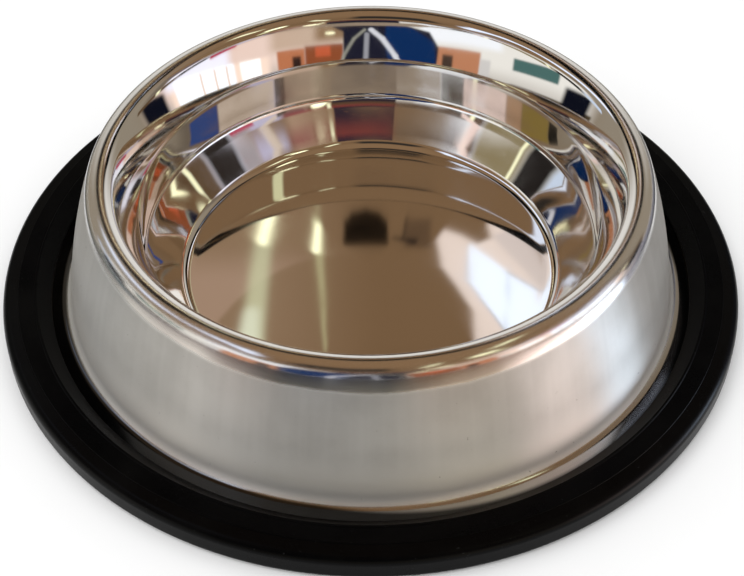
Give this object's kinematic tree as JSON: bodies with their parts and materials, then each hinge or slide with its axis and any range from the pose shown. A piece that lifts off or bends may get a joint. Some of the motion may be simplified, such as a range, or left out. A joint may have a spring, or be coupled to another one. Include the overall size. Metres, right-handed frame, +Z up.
{
  "type": "pet bowl",
  "caption": "Low stainless steel dog bowl with a rolled mirror rim, a flared satin skirt and a removable non-slip rubber ring round its foot.",
  "frame": {"origin": "on the ground, under the middle of the dish", "axes": "+Z up along the bowl's axis of revolution, X and Y are free because the bowl is round"},
  "size_m": [0.25, 0.25, 0.0529],
  "materials": {
    "steel": "mirror polished dish, rim and foot flare, satin skirt",
    "rubber": "moulded, soft sheen"
  },
  "bodies": {
    "root": {"steel_bowl": "steel", "rubber_ring": "rubber"}
  },
  "joints": []
}
